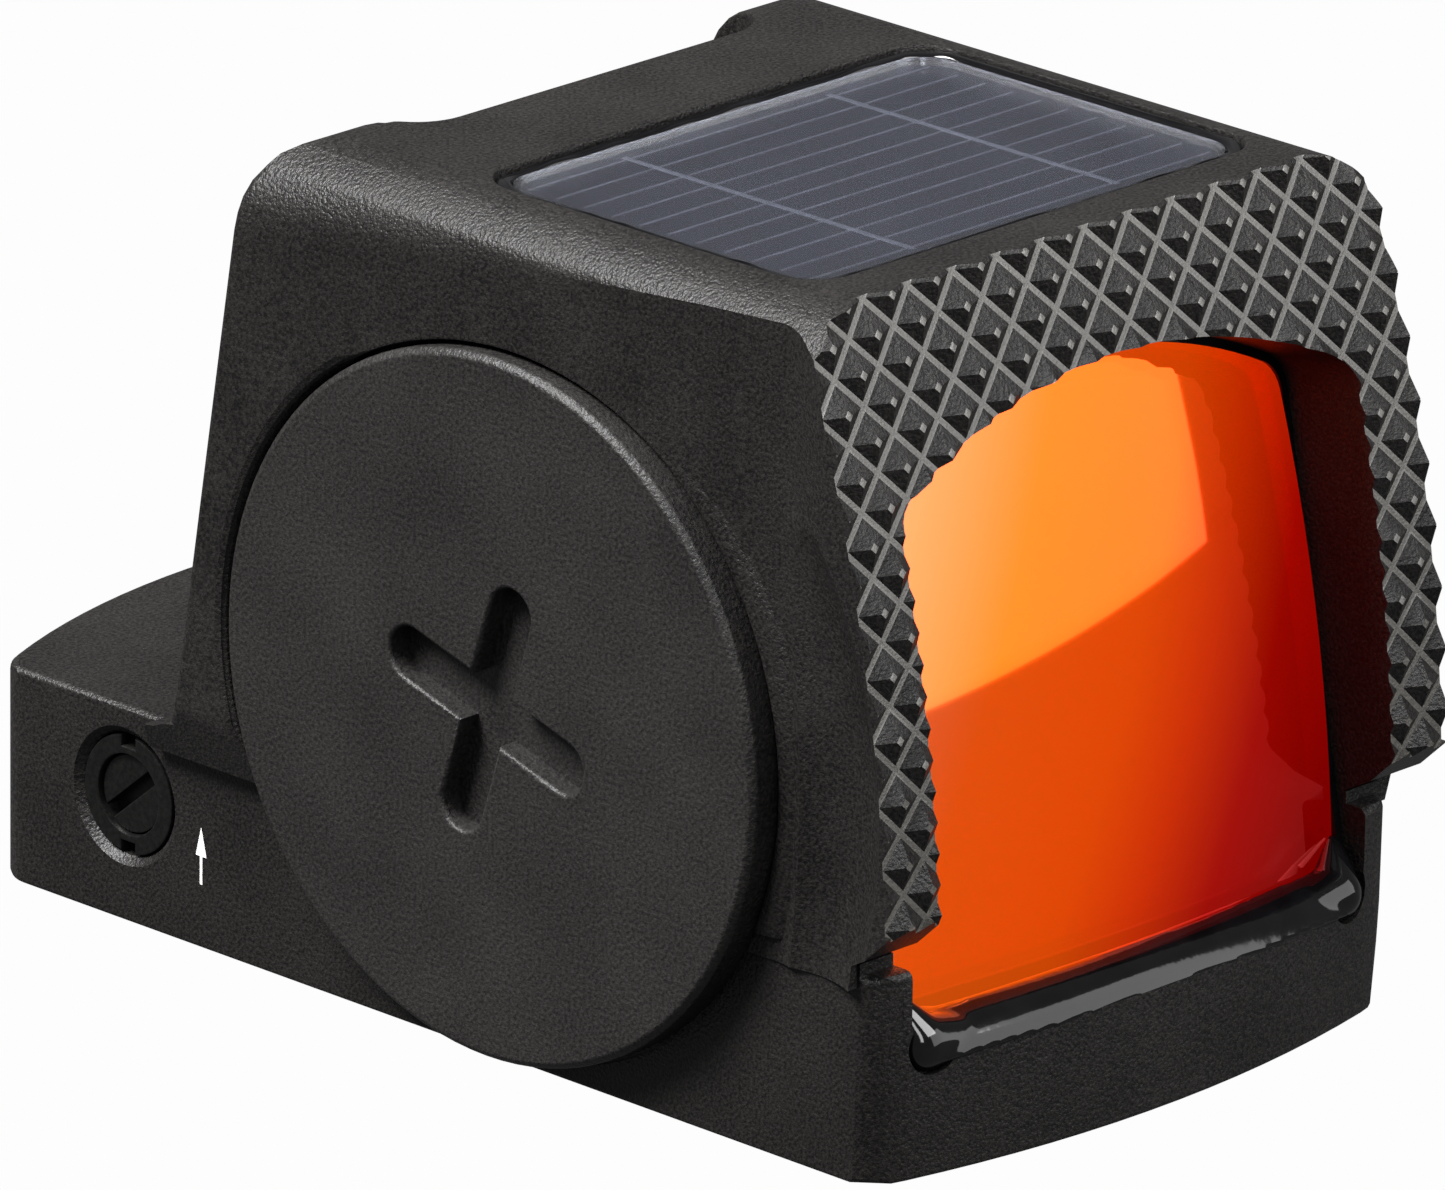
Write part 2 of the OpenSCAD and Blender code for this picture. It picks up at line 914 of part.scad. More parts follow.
module cover_screws() {
    color([0.5, 0.5, 0.5])
        for (p = cover_screw_places)
            translate([p.x, p.y, 0]) {
                translate([0, 0, 0.1])
                    cylinder(r = cover_head_r, h = 0.35);
                translate([0, 0, 0.4])
                    cylinder(r = cover_shank_r, h = 2.6);
            }
}

housing();
lens_front();
lens_rear();
lens_sealant();
solar_glass();
solar_cell();
solar_gasket();
solar_flex();
battery_cap();
cap_o_ring();
coin_cell();
cell_spring();
negative_contact();
positive_contact();
windage_screw();
windage_ring();
windage_o_ring();
windage_carriage();
carriage_spring();
elevation_screw();
elevation_clip();
emitter_block();
led_emitter();
emitter_window();
emitter_flex();
main_board();
controller_chip();
button_board();
dome_switches();
up_button();
down_button();
button_bezel();
bottom_cover();
cover_gasket();
cover_screws();
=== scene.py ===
# %% [markdown]
# # A compact red dot finder
#
# This finder is a block of black anodised aluminium with a tilted, coated lens at its front, a solar panel in its
# roof and a coin cell behind a round cap in its side. The solid parts come from a CAD pack and stay exactly where
# they are. This script adds what a drawing leaves out: rolled edges, the cut pattern round the lens, the grain of
# the blasted metal, a painted glow on the coating and the bead of sealant.
#
# The first cell loads the imported model and keeps the size of its box.

# %% Load the imported model
import itertools
import json
import math

import bmesh
import bpy
from mathutils import Matrix, Vector


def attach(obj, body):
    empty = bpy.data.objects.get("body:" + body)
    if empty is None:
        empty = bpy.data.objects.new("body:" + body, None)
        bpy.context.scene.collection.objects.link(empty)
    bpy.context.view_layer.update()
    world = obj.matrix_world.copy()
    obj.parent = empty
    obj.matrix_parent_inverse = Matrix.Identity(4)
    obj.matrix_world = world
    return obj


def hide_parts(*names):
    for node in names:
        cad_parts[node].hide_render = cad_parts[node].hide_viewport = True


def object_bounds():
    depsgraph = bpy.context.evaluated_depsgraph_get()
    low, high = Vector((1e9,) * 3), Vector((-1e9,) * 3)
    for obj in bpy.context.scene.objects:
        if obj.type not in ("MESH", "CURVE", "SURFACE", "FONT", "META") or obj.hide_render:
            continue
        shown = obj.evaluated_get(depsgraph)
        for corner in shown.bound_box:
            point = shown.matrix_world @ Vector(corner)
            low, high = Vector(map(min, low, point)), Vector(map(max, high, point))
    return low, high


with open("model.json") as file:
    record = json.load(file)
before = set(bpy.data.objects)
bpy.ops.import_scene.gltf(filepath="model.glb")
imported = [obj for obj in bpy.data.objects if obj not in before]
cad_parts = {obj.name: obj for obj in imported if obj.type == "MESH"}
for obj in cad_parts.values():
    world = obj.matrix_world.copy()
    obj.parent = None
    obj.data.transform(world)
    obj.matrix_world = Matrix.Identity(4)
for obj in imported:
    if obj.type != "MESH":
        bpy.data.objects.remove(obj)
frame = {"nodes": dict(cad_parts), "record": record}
cad_box = [list(corner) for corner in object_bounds()]
nodes = frame["nodes"]
MM = 0.001

# %% [markdown]
# ## The camera
#
# The finder is small, so the camera stands well back with a long lens, which keeps the finder's edges nearly
# parallel. The camera is set from an azimuth, an elevation and a small roll, as on a tripod head. Its three axes
# come from those angles, and it steps back from its target along its own back axis. There is no depth of field.

# %% Camera
AZIMUTH, ELEVATION, ROLL = (math.radians(a) for a in (133.789, 19.518, 0.778))
DISTANCE = 559.205 * MM
SENSOR = 36            # width of the sensor in mm
LENS = 442.98          # focal length in mm
AIM = Vector((0, 0, 13)) * MM
AIM_RIGHT, AIM_UP = -0.451 * MM, -0.856 * MM

level_right = Vector((math.cos(AZIMUTH), math.sin(AZIMUTH), 0))
back = Vector((math.sin(AZIMUTH) * math.cos(ELEVATION), -math.cos(AZIMUTH) * math.cos(ELEVATION),
               math.sin(ELEVATION)))
level_up = back.cross(level_right)
right = level_right * math.cos(ROLL) + level_up * math.sin(ROLL)
up = level_up * math.cos(ROLL) - level_right * math.sin(ROLL)
place = AIM + right * AIM_RIGHT + up * AIM_UP + back * DISTANCE

camera = bpy.data.objects.new("camera", bpy.data.cameras.new("camera"))
camera.data.sensor_width = SENSOR
camera.data.lens = LENS
camera.data.clip_start, camera.data.clip_end = 0.01, 20
camera.matrix_world = Matrix.Translation(place) @ Matrix((right, up, back)).transposed().to_4x4()
bpy.context.scene.collection.objects.link(camera)
bpy.context.scene.camera = camera
bpy.context.scene.view_settings.view_transform = "Standard"
print("camera", [round(c, 3) for c in place], "m from the middle of the base")

# %% [markdown]
# ## Two small helpers for materials
#
# Colours are written as the hex values that a colour picker shows, and one function turns them to the linear
# values that the shader works in. One more function adds a node with its settings and links, so that each
# material below reads as a short list of what it is made of.

# %% Helpers for colours and nodes
def hex_colour(text):
    """An sRGB hex colour as linear red, green, blue and alpha."""
    parts = [int(text[i:i + 2], 16) / 255 for i in (1, 3, 5)]
    return (*[c / 12.92 if c <= 0.04045 else ((c + 0.055) / 1.055) ** 2.4 for c in parts], 1)


def put(tree, kind, settings=(), **sockets):
    """Adds a node of a kind; a socket takes a value, or an output to link from."""
    node = tree.nodes.new("ShaderNode" + kind)
    for name, value in dict(settings).items():
        setattr(node, name, value)
    for name, value in sockets.items():
        socket = node.inputs[int(name[1:]) if name[0] == "_" else name.replace("_", " ")]
        if isinstance(value, bpy.types.NodeSocket):
            tree.links.new(value, socket)
        else:
            socket.default_value = value
    return node


def ramp(tree, factor, *stops):
    """A colour ramp through (place, hex colour) stops."""
    node = put(tree, "ValToRGB", Fac=factor)
    line = node.color_ramp
    while len(line.elements) < len(stops):
        line.elements.new(0.5)
    for element, (at, colour) in zip(line.elements, stops):
        element.position, element.color = at, hex_colour(colour)
    return node.outputs["Color"]


def new_material(name):
    """An empty material with its output, and the surface's own coordinates in metres."""
    material = bpy.data.materials.new(name)
    material.use_nodes = True
    tree = material.node_tree
    tree.nodes.clear()
    place = put(tree, "TexCoord").outputs["Object"]
    return material, tree, place


def finish_material(tree, surface):
    """Links a shader to the output."""
    out = put(tree, "OutputMaterial")
    tree.links.new(surface, out.inputs["Surface"])


print("black reads as", hex_colour("#000000")[:3], "and mid grey as", round(hex_colour("#808080")[0], 3))

# %% [markdown]
# ## Floor, backdrop and light
#
# The object stands on a plain floor. The camera sees floor and world as white, and a small part of the floor's
# own shading stays, so that the shadow at the foot of the finder is kept. To everything else the floor is dark
# paper, which throws little light back. Metal and glass see the white of the room only in part, because black
# anodising would turn grey under a fully white room.

# %% Floor and world
def white_where_seen(tree, own, glow, seen, mirrored):
    """Mixes a shader with its white twin: by seen where the camera looks, by mirrored in metal and glass."""
    rays = put(tree, "LightPath")
    shares = (("Is Camera Ray", seen), ("Is Glossy Ray", mirrored), ("Is Transmission Ray", mirrored))
    parts = [put(tree, "Math", {"operation": "MULTIPLY"}, _0=rays.outputs[ray], _1=share).outputs[0]
             for ray, share in shares]
    part = put(tree, "Math", {"operation": "MAXIMUM"}, _0=parts[0], _1=parts[1])
    part = put(tree, "Math", {"operation": "MAXIMUM"}, _0=part.outputs[0], _1=parts[2])
    return put(tree, "MixShader", Fac=part.outputs[0], _1=own.outputs[0], _2=glow.outputs[0])


def mesh_object(name, made):
    """An object of a bmesh, in the scene."""
    data = bpy.data.meshes.new(name)
    made.to_mesh(data)
    made.free()
    piece = bpy.data.objects.new(name, data)
    bpy.context.scene.collection.objects.link(piece)
    return piece


FLOOR_SIZE = 3.0
FLOOR_GAP = 0.02               # the floor lies this far under the mounting face, in mm
FLOOR_SEEN, FLOOR_MIRRORED = 0.98, 0.14    # how white the floor is to the camera, and in metal and glass
ROOM_SEEN, ROOM_MIRRORED = 1.0, 0.12
ROOM_LIGHT = 0.05              # light that the room itself gives
floor_mesh = bmesh.new()
bmesh.ops.create_grid(floor_mesh, x_segments=1, y_segments=1, size=FLOOR_SIZE / 2)
floor = mesh_object("floor", floor_mesh)
floor.location.z = cad_box[0][2] - FLOOR_GAP * MM

material, tree, _ = new_material("studio_floor")
paper = put(tree, "BsdfDiffuse", Color=hex_colour("#1c1c1c"))
paper_white = put(tree, "Emission", Color=hex_colour("#ffffff"), Strength=1.0)
finish_material(tree, white_where_seen(tree, paper, paper_white, FLOOR_SEEN, FLOOR_MIRRORED).outputs[0])
floor.data.materials.append(material)

world = bpy.data.worlds.new("studio")
world.use_nodes = True
bpy.context.scene.world = world
tree = world.node_tree
tree.nodes.clear()
room = put(tree, "Background", Color=hex_colour("#ffffff"), Strength=ROOM_LIGHT)
room_white = put(tree, "Background", Color=hex_colour("#ffffff"), Strength=1.0)
out = put(tree, "OutputWorld")
seen_room = white_where_seen(tree, room, room_white, ROOM_SEEN, ROOM_MIRRORED)
tree.links.new(seen_room.outputs[0], out.inputs["Surface"])
print("floor", FLOOR_SIZE, "m across")

# %% [markdown]
# The lamps are rectangles, like softboxes, and all of them look at the middle of the finder. Two large ones above
# give plain studio light. The stronger of them stands on the cap's side and a little behind, so that the front of
# each swelling falls into shade. A low wide one in front fills the lens with an even glow, and a narrow one above
# the camera draws a soft line along the rolled edges.

# %% Lamps
def soft_lamp(name, direction, distance, width, height, power):
    """A rectangular lamp that looks at the middle of the finder from a direction."""
    data = bpy.data.lights.new(name, "AREA")
    data.shape, data.size, data.size_y, data.energy = "RECTANGLE", width, height, power
    lamp = bpy.data.objects.new(name, data)
    towards = Vector(direction).normalized()
    lamp.location = AIM + towards * distance
    lamp.rotation_euler = towards.to_track_quat("Z", "Y").to_euler()
    bpy.context.scene.collection.objects.link(lamp)


LAMPS = {
    # name: direction, distance m, width m, height m, power
    "key_lamp": ((0.62, -0.36, 1.0), 0.60, 0.24, 0.24, 13.5),
    "top_lamp": ((-0.2, 0.8, 1.0), 0.60, 0.40, 0.30, 4.2),
    "lens_lamp": ((-0.56, 1.0, 0.36), 0.60, 0.56, 0.52, 2.1),
    "edge_lamp": ((0.80, 1.0, 0.80), 0.60, 0.10, 0.30, 0.9),
}
for name, values in LAMPS.items():
    soft_lamp(name, *values)
print(len(LAMPS), "lamps")

# %% [markdown]
# ## Finishes
#
# Most of the finder is aluminium, blasted with fine glass beads and then anodised black. The oxide is a dull,
# slightly warm black, and the dimples that the beads leave, about a tenth of a millimetre across, break a
# highlight into grain. Two octaves of noise on the object's own coordinates give that grain to the colour, the
# roughness and the surface. The cap is made the same way but comes out a little lighter and coarser. The pattern
# round the lens is milled after blasting, so its flats are smoother and glossier; their much lighter colour is a
# painted highlight on the flats that face the front lamps.

# %% Blasted and anodised aluminium
CLOUD_SIZE = 4                 # mm, of the slow change in shade and gloss
CLOUD_SHARE = 0.25             # how strongly it joins the grain in the colour
ROUGH_SPREAD = 0.04            # how far the roughness goes up and down with it


def blasted_anodising(name, dark, light, roughness, grain, relief, specular):
    """Black anodising over bead-blasted metal; grain and relief are in millimetres."""
    material, tree, place = new_material(name)
    dimples = put(tree, "TexNoise", Vector=place, Scale=1 / (grain * MM), Detail=2.0, Roughness=0.55)
    clouds = put(tree, "TexNoise", Vector=place, Scale=1 / (CLOUD_SIZE * MM), Detail=2.0, Roughness=0.5)
    shade = put(tree, "Math", {"operation": "MULTIPLY_ADD"}, _0=clouds.outputs["Fac"], _1=CLOUD_SHARE,
                _2=dimples.outputs["Fac"])
    colour = ramp(tree, shade.outputs[0], (0.45, dark), (0.85, light))
    rough = put(tree, "MapRange", Value=clouds.outputs["Fac"], From_Min=0.3, From_Max=0.7,
                To_Min=roughness - ROUGH_SPREAD, To_Max=roughness + ROUGH_SPREAD)
    bump = put(tree, "Bump", Strength=1.0, Distance=relief * MM, Height=dimples.outputs["Fac"])
    shader = put(tree, "BsdfPrincipled", Base_Color=colour, Roughness=rough.outputs[0],
                 Specular_IOR_Level=specular, Normal=bump.outputs[0])
    finish_material(tree, shader.outputs[0])
    return material


finishes = {
    "anodised_aluminium": blasted_anodising("anodised_aluminium", "#090808", "#242221", 0.42, 0.12, 0.050, 0.24),
    # the milled finish is smoother and glossier, and its lighter colour is a painted highlight
    "milled_painted_highlight_aluminium": blasted_anodising("milled_painted_highlight_aluminium", "#33322f", "#53504b", 0.36, 0.08, 0.016, 1.0),
    "cap_aluminium": blasted_anodising("cap_aluminium", "#121111", "#2a2827", 0.46, 0.13, 0.046, 0.26),
}
print("made", ", ".join(finishes))

# %% [markdown]
# The front glass carries a reflective coating that sends the emitter's red light back to the eye. Seen from
# outside it is a mirror for orange and red: it is orange near one upper corner, and deepens to red across the
# glass. A colour ramp along a slanted direction of the glass gives that drift. The coating sends back about two
# thirds of the light, so the shader mixes that much of a coloured mirror with plain glass, and one can look
# through it from behind. A weak glow is painted light, which keeps the orange and red bright from every side. The
# other glass is plain.

# %% Coated and clear glass
COATING_SPAN = 26              # mm over which the colour drifts from red to orange
COATING_LEAN = 30              # degrees that the drift is turned from level
COATING_MIDDLE = 0.27          # place on the ramp of the lens's middle
COATING_STOPS = ((0.08, "#a00000"), (0.26, "#c80c00"), (0.38, "#f23c00"), (0.50, "#ff5a02"), (0.72, "#ff6410"),
                 (0.95, "#ff8454"))
COATING_SHARE = 0.64           # part of the light that the coating turns back
COATING_PAINTED_GLOW = 0.56            # strength of the painted glow
GLASS_IOR = 1.52               # of common crown glass


def coated_glass(name):
    """Glass under a coating that reflects orange to red and lets about a third of the light through."""
    material, tree, place = new_material(name)
    turned = put(tree, "Mapping", {"vector_type": "POINT"}, Vector=place,
                 Rotation=(0, math.radians(COATING_LEAN), 0), Scale=(1 / (COATING_SPAN * MM),) * 3)
    across = put(tree, "SeparateXYZ", Vector=turned.outputs[0]).outputs["X"]
    centred = put(tree, "Math", {"operation": "ADD"}, _0=across, _1=COATING_MIDDLE)
    colour = ramp(tree, centred.outputs[0], *COATING_STOPS)
    # the emission is painted light: a glow in the coating's colour, though the glass is no lamp
    coating = put(tree, "BsdfPrincipled", Base_Color=colour, Metallic=1.0, Roughness=0.035,
                  Emission_Color=colour, Emission_Strength=COATING_PAINTED_GLOW)
    glass = put(tree, "BsdfPrincipled", Base_Color=hex_colour("#d8ecee"), Roughness=0.02, IOR=GLASS_IOR,
                Transmission_Weight=1.0, Specular_Tint=colour)
    shared = put(tree, "MixShader", _0=COATING_SHARE, _1=glass.outputs[0], _2=coating.outputs[0])
    finish_material(tree, shared.outputs[0])
    return material


def clear_glass(name, tint, roughness):
    """Polished glass with a slight tint."""
    material, tree, place = new_material(name)
    polish = put(tree, "TexNoise", Vector=place, Scale=1 / (2 * MM), Detail=1.0)
    rough = put(tree, "MapRange", Value=polish.outputs["Fac"], To_Min=roughness, To_Max=roughness * 1.4)
    shader = put(tree, "BsdfPrincipled", Base_Color=hex_colour(tint), Roughness=rough.outputs[0], IOR=GLASS_IOR,
                 Transmission_Weight=1.0)
    finish_material(tree, shader.outputs[0])
    return material


finishes["coated_glass"] = coated_glass("coated_glass")
finishes["clear_glass"] = clear_glass("clear_glass", "#eef6f4", 0.01)
finishes["panel_glass"] = clear_glass("panel_glass", "#dfe2ee", 0.16)
print("made", len(finishes), "finishes so far")

# %% [markdown]
# The remaining pieces are small: cured sealant that is wet and black, a dark silicon cell, rubber, steel, gold
# plating, circuit laminate and moulded resin. They differ in colour, metal and gloss and in the size and depth
# of one fine noise, so a single function makes them all from a short table.

# %% Small parts' finishes
def plain_finish(name, dark, light, metallic, roughness, grain, relief):
    """A two-tone finish with a fine grain; grain and relief are in millimetres."""
    material, tree, place = new_material(name)
    noise = put(tree, "TexNoise", Vector=place, Scale=1 / (grain * MM), Detail=3.0, Roughness=0.6)
    colour = ramp(tree, noise.outputs["Fac"], (0.35, dark), (0.7, light))
    rough = put(tree, "MapRange", Value=noise.outputs["Fac"], To_Min=roughness * 0.85, To_Max=roughness * 1.15)
    bump = put(tree, "Bump", Strength=1.0, Distance=relief * MM, Height=noise.outputs["Fac"])
    shader = put(tree, "BsdfPrincipled", Base_Color=colour, Metallic=metallic, Roughness=rough.outputs[0],
                 Normal=bump.outputs[0])
    finish_material(tree, shader.outputs[0])
    return material


SMALL_FINISHES = {
    # name: dark, light, metallic, roughness, grain mm, relief mm
    "black_sealant": ("#050506", "#0b0b0d", 0.0, 0.09, 1.4, 0.012),
    "silicon_cell": ("#1c1f2b", "#2a2e3c", 0.1, 0.38, 0.10, 0.004),
    "grid_silver": ("#9fa3ab", "#c4c6cc", 0.6, 0.45, 0.20, 0.002),
    "flex_film": ("#8a4a10", "#b06a20", 0.0, 0.30, 0.50, 0.004),
    "nitrile_rubber": ("#101010", "#191919", 0.0, 0.55, 0.20, 0.006),
    "nickel_steel": ("#b3b2ad", "#c9c8c2", 1.0, 0.28, 0.30, 0.003),
    "spring_brass": ("#b58c3c", "#d2ab58", 1.0, 0.25, 0.30, 0.003),
    "blackened_steel": ("#101010", "#1e1d1c", 0.6, 0.36, 0.15, 0.006),
    "machined_alloy": ("#8f9296", "#a9acb0", 1.0, 0.35, 0.20, 0.004),
    "circuit_laminate": ("#0a3d1c", "#125428", 0.0, 0.32, 0.60, 0.004),
    "chip_resin": ("#131313", "#1d1d1d", 0.0, 0.50, 0.08, 0.006),
    "led_resin": ("#8a0c08", "#b5120c", 0.0, 0.15, 0.30, 0.001),
    "key_rubber": ("#161616", "#222222", 0.0, 0.62, 0.09, 0.010),
    "cover_steel": ("#18181a", "#262628", 0.4, 0.42, 0.12, 0.008),
    "marking_ink": ("#d8d8d6", "#f2f2f0", 0.0, 0.60, 0.10, 0.003),
}
for name, values in SMALL_FINISHES.items():
    finishes[name] = plain_finish(name, *values)
print("made", len(finishes), "finishes")

# %% [markdown]
# ## From drawing to real edge
#
# A CAD piece has knife edges, and a real one never has: the tumbling and blasting before anodising roll every
# edge over by a tenth of a millimetre or more, and that thin roll is what catches the light. A piece that shows
# is copied from its CAD node, its doubled points are merged, and the triangles of each flat face are joined so
# that a bevel has clean faces to work on. The CAD node itself is not changed: the copy stands for it.

# %% Helpers for detailed copies
body_of_node = {node: body for body, members in frame["record"]["behaviour"]["bodies"].items() for node in members}
slot_of_node = {part["node"]: part["material_slot"] for part in frame["record"]["subparts"]}
FLAT = math.radians(0.3)       # faces that meet at less than this are one face
SHARP = math.radians(32)       # faces that meet at more than this make a real edge


def copied(node):
    """A clean copy of a CAD piece's mesh."""
    made = bmesh.new()
    made.from_mesh(nodes[node].data)
    bmesh.ops.remove_doubles(made, verts=made.verts, dist=0.001 * MM)
    bmesh.ops.dissolve_limit(made, angle_limit=FLAT, verts=made.verts, edges=made.edges)
    return made


def roll_edges(made, width, segments, wanted):
    """Bevels the sharp outer edges whose middle and direction pass a test; width is in millimetres."""
    edges = []
    for edge in made.edges:
        if len(edge.link_faces) == 2 and edge.calc_face_angle_signed(0) > SHARP:
            a, b = (v.co / MM for v in edge.verts)
            if wanted((a + b) / 2, (b - a).normalized()):
                edges.append(edge)
    bmesh.ops.bevel(made, geom=edges, offset=width * MM, offset_type="OFFSET", affect="EDGES", segments=segments,
                    profile=0.5, material=-1, clamp_overlap=False)
    return len(edges)


def new_piece(name, made, slot, body, replaced=()):
    """Turns a bmesh into a shown piece with smooth faces, its finish, its body and the nodes that it stands for."""
    piece = mesh_object(name, made)
    data = piece.data
    if "custom_normal" in data.attributes:     # the CAD mesh's normals, which don't fit the joined faces
        data.attributes.remove(data.attributes["custom_normal"])
    data.polygons.foreach_set("use_smooth", [True] * len(data.polygons))
    data.set_sharp_from_angle(angle=SHARP)
    data.materials.clear()
    data.materials.append(finishes[slot])
    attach(piece, body)
    if replaced:
        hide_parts(*replaced)
    return piece


def flat_shaded(piece):
    """Keeps large faces flat in the shading, so that only the rolled edges bend the light."""
    weighted = piece.modifiers.new("flat_shading", "WEIGHTED_NORMAL")
    weighted.keep_sharp = True
    return piece


def carve(piece, cutter_mesh, finish=None):
    """Takes a closed cutter mesh away from a piece, and may leave a second finish where it cut."""
    cutter = mesh_object("cutter", cutter_mesh)
    if finish:
        piece.data.materials.append(finishes[finish])
    for kept in piece.data.materials:
        cutter.data.materials.append(kept)
    cut = piece.modifiers.new("cut", "BOOLEAN")
    cut.operation, cut.solver, cut.object = "DIFFERENCE", "EXACT", cutter
    graph = bpy.context.evaluated_depsgraph_get()
    graph.update()
    carved = bpy.data.meshes.new_from_object(piece.evaluated_get(graph))
    piece.modifiers.remove(cut)
    before, old = len(piece.data.polygons), piece.data
    piece.data = carved
    bpy.data.meshes.remove(old)
    carved.name = piece.name
    carved.set_sharp_from_angle(angle=SHARP)
    bpy.data.objects.remove(cutter)
    print(piece.name, "had", before, "faces and has", len(carved.polygons))


def box(made, low, high):
    """Adds a block between two corners, in millimetres."""
    low, high = Vector(low) * MM, Vector(high) * MM
    size = high - low
    return bmesh.ops.create_cube(made, size=1, matrix=Matrix.Translation((low + high) / 2)
                                 @ Matrix.Diagonal((*size, 1)))["verts"]


def detailed(name, node, width, segments, wanted):
    """A copy of a CAD piece with rolled edges, which stands for it."""
    made = copied(node)
    count = roll_edges(made, width, segments, wanted)
    print(name, "has", count, "rolled edges")
    return flat_shaded(new_piece(name, made, slot_of_node[node], body_of_node[node], [node]))


print("helpers ready; the cap rides on", body_of_node["battery_cap"])

# %% [markdown]
# ## The housing
#
# The housing is one machined block. Its base has upright corners that are clearly rounded, and the edges round
# the deck, the roof and the hood are rolled a little. One bevel on every sharp edge would tear the mesh where
# small holes meet, so each group of edges is picked by where it lies, and gets the width that it has.

# %% Housing with rolled edges
BASE_HALF = 11.77
DECK, BEZEL = 7.3, 6.9
FRONT_BOW, FRONT_BOW_Y = 46.3, -27.6       # radius and centre of the base's bowed front
REAR_BOW, REAR_BOW_Y = 27.9, 4.2
FRONT_CORNER, REAR_CORNER = 17.18, -21.1
CAP_Y, CAP_Z, CAP_SEAT_R = 1.75, 11.95, 11.65
HOOD_REACH, HOOD_RADIUS, HOOD_AXIS = 18.95, 60.0, 5.9
ROOF = 27.83


def hood_face(z):
    """How far forward the hood's curved face is at a height, in mm."""
    return HOOD_REACH - HOOD_RADIUS + math.sqrt(HOOD_RADIUS ** 2 - (z - HOOD_AXIS) ** 2)


def near(a, b, within=0.03):
    """Whether two measures are the same within a few hundredths of a millimetre."""
    return abs(a - b) < within


def on_outline(p):
    """On the outline of the base, seen from above."""
    rear = near(math.hypot(p.x, p.y - REAR_BOW_Y), REAR_BOW, 0.3) or (p.y < -20 and abs(p.x) > 10.5)
    front = near(math.hypot(p.x, p.y - FRONT_BOW_Y), FRONT_BOW, 0.3) or (p.y > 16.75 and abs(p.x) > 10.5)
    return near(abs(p.x), BASE_HALF) or rear or front


ROLLS = {
    # edge group: width mm, segments, test of the edge's middle p and direction d
    "upright corners": (0.9, 6, lambda p, d: abs(d.z) > 0.99 and near(abs(p.x), BASE_HALF)
                        and (near(p.y, FRONT_CORNER, 0.1) or near(p.y, REAR_CORNER, 0.2))),
    "deck": (0.28, 3, lambda p, d: near(p.z, DECK) and abs(d.z) < 0.1 and p.y < -13.5 and on_outline(p)),
    "bezel": (0.28, 3, lambda p, d: near(p.z, BEZEL) and abs(d.z) < 0.1 and p.y > 16.75 and on_outline(p)),
    "cap seat": (0.12, 2, lambda p, d: p.x > 12 and near(math.hypot(p.y - CAP_Y, p.z - CAP_Z), CAP_SEAT_R, 0.06)),
    "panel recess": (0.12, 2, lambda p, d: near(p.z, ROOF) and abs(d.z) < 0.1 and abs(p.x) < 10.3 and -2 < p.y < 13),
    "rear side": (0.30, 3, lambda p, d: -14.2 < p.y < -4 and abs(p.x) > 12 and p.z > 7.5),
    "rear opening": (0.20, 2, lambda p, d: -14.2 < p.y < -6 and 8 < abs(p.x) < 10.5 and p.z > 7.5),
    "foot": (0.20, 2, lambda p, d: near(p.z, 0, 0.01) and abs(d.z) < 0.1 and on_outline(p)),
}
housing = new_piece("housing_body", copied("housing"), "anodised_aluminium", "body", ["housing"])
print(len(ROLLS), "groups of edges will be rolled once the pattern is cut")

# %% [markdown]
# The face of the hood, round the lens, is cut with two sets of grooves that cross at right angles and leave rows
# of blunt pyramids, so that fingers and gloves don't slip. The cutter is made as the pattern's negative: a grid
# turned by 45 degrees, whose cells are inset once for the floor of the grooves and once more, with a height, for
# the pyramids. It is bent to the curve of the hood, closed into a block, and taken away from the housing. The
# floors and the tops get the smoother milled finish, whose lighter colour is a painted highlight on the faces
# that look toward the front lamps, and the slopes keep the dark finish.

# %% Pattern on the hood
HALF_PITCH = 0.9825            # half of a diamond's width, in mm
CELL = HALF_PITCH * math.sqrt(2)
GROOVE_HALF = 0.14             # half of the floor's width
SLOPE = 0.68                   # width of a pyramid's side, seen from the front
GROOVE_DEPTH = 0.32
SKIM = 0.01                    # the cutter also skims the pyramids' tops
NODE_HEIGHT = 27.72            # a crossing of the grooves, on the middle line
ROWS_BELOW = 10                # half pitches from there to the middle of the grid
FOOT, HEAD, REACH = 7.6, 30, 15  # cells that cross these limits are left out
CELLS = 32
BLASTED, MILLED_PAINTED_HIGHLIGHT = 0, 1         # the housing's two finishes

cutter_mesh = bmesh.new()
bmesh.ops.create_grid(cutter_mesh, x_segments=CELLS, y_segments=CELLS, size=CELLS * CELL / 2,
                      matrix=Matrix.Rotation(math.radians(45), 4, "Z"))
middle_height = NODE_HEIGHT - ROWS_BELOW * HALF_PITCH
outside = [f for f in cutter_mesh.faces
           if any(abs(v.co.x) > REACH or not FOOT < v.co.y + middle_height < HEAD for v in f.verts)]
bmesh.ops.delete(cutter_mesh, geom=outside, context="FACES")
cells = list(cutter_mesh.faces)
bmesh.ops.inset_individual(cutter_mesh, faces=cells, thickness=GROOVE_HALF, depth=0)
slopes = bmesh.ops.inset_individual(cutter_mesh, faces=cells, thickness=SLOPE, depth=GROOVE_DEPTH)["faces"]
